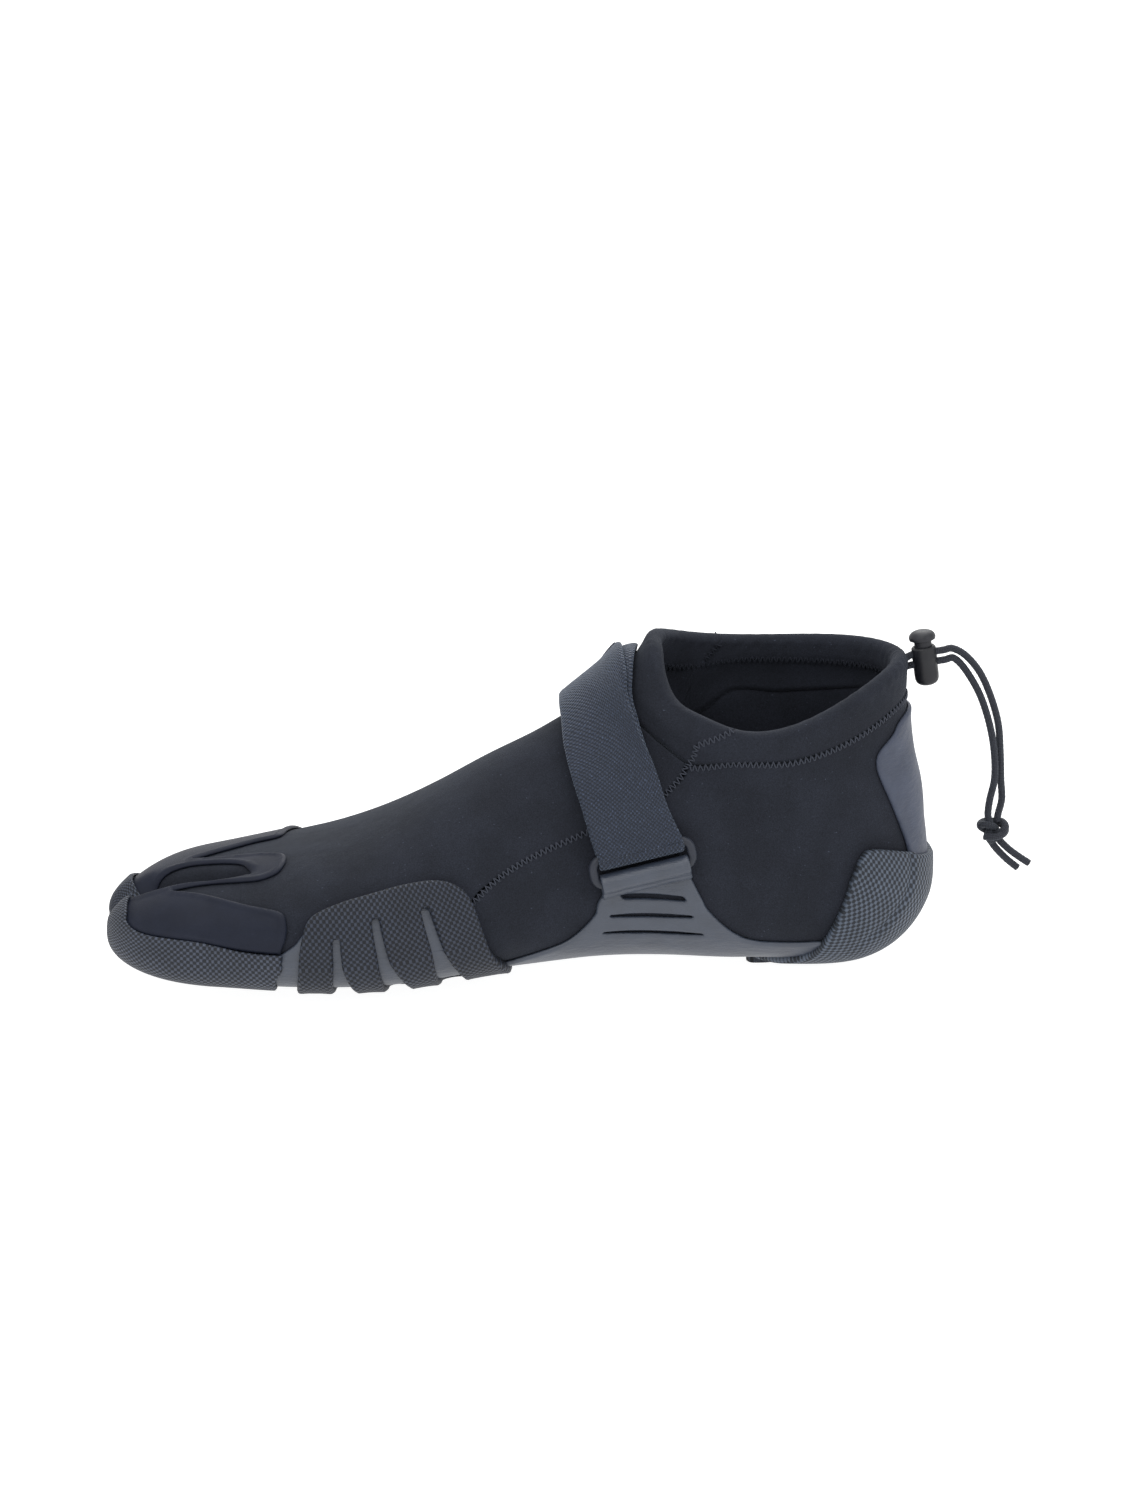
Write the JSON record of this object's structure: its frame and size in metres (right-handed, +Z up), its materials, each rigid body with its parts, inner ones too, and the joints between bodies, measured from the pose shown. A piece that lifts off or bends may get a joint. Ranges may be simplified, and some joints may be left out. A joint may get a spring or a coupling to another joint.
{
  "type": "neoprene boot",
  "caption": "Low neoprene water boot for the right foot, with a split toe, glued rubber sole panels, an instep strap through a ring and a drawcord collar.",
  "frame": {"origin": "centre of the footprint of the boot's box without its free cord ends, on the ground under the sole", "axes": "+X from the toe to the heel, +Y from the inner (big toe) side to the outer side, +Z up"},
  "size_m": [0.3209, 0.1091, 0.1154],
  "materials": {
    "neoprene": "knitted jersey over foam, matt",
    "thread": "zigzag flatlock thread",
    "seam_tape": "glued tape, matt",
    "footbed": "foam footbed, matt",
    "smooth_rubber": "smooth satin rubber",
    "textured_rubber": "fine diamond texture",
    "ring_plastic": "satin moulded plastic",
    "strap_webbing": "brushed loop fabric",
    "cord": "braided elastic cord",
    "lock_plastic": "satin moulded plastic",
    "spring_steel": "wire"
  },
  "bodies": {
    "boot": {"vamp": "neoprene", "quarter_medial": "neoprene", "quarter_lateral": "neoprene", "sole_panel": "neoprene", "cuff_front": "neoprene", "cuff_rear": "neoprene", "seam_stitching": "thread", "seam_tape": "seam_tape", "toe_divider": "neoprene", "insole": "footbed", "sole_base": "smooth_rubber", "flank_base": "smooth_rubber", "toe_rand": "textured_rubber", "toe_overlay": "smooth_rubber", "forefoot_outsole": "textured_rubber", "forefoot_tread": "textured_rubber", "arch_wrap": "smooth_rubber", "heel_cup": "textured_rubber", "heel_tread": "textured_rubber", "heel_tab": "smooth_rubber", "ring_tab": "smooth_rubber", "strap_base": "strap_webbing", "strap_anchor": "smooth_rubber", "strap_stitching": "thread", "drawcord": "cord", "cord_strand_upper": "cord", "cord_strand_lower": "cord", "cord_knot": "cord", "cord_tails": "cord"},
    "ring": {"ring": "ring_plastic"},
    "strap_lower": {"strap_fold": "strap_webbing", "strap_tail_lower": "strap_webbing"},
    "strap_upper": {"strap_tail_upper": "strap_webbing", "pull_tab": "smooth_rubber"},
    "lock": {"cord_lock_barrel": "lock_plastic", "cord_lock_spring": "spring_steel"},
    "button": {"cord_lock_button": "lock_plastic"}
  },
  "joints": [
    {"name": "ring_swing", "type": "hinge", "parent": "boot", "child": "ring", "pos_m": [0.03896, -0.03788, 0.04367], "axis": [0.978, 0.0596, 0.1999], "range_deg": [0, 20]},
    {"name": "strap_peel", "type": "hinge", "parent": "ring", "child": "strap_lower", "pos_m": [0.03719, -0.03695, 0.05203], "axis": [0.978, 0.0596, 0.1999], "range_deg": [0, 85]},
    {"name": "strap_end_lift", "type": "hinge", "parent": "strap_lower", "child": "strap_upper", "pos_m": [0.02139, 0.00697, 0.10208], "axis": [0.8122, 0.0498, 0.5812], "range_deg": [0, 70]},
    {"name": "cord_lock_slide", "type": "slide", "parent": "boot", "child": "lock", "axis": [0.9976, 0, 0.0698], "range_m": [0, 0.0055]},
    {"name": "button_press", "type": "slide", "parent": "lock", "child": "button", "axis": [0.0698, 0, -0.9976], "range_m": [0, 0.002], "stiffness_N_per_m": 400, "deforming": ["cord_lock_spring"]}
  ]
}
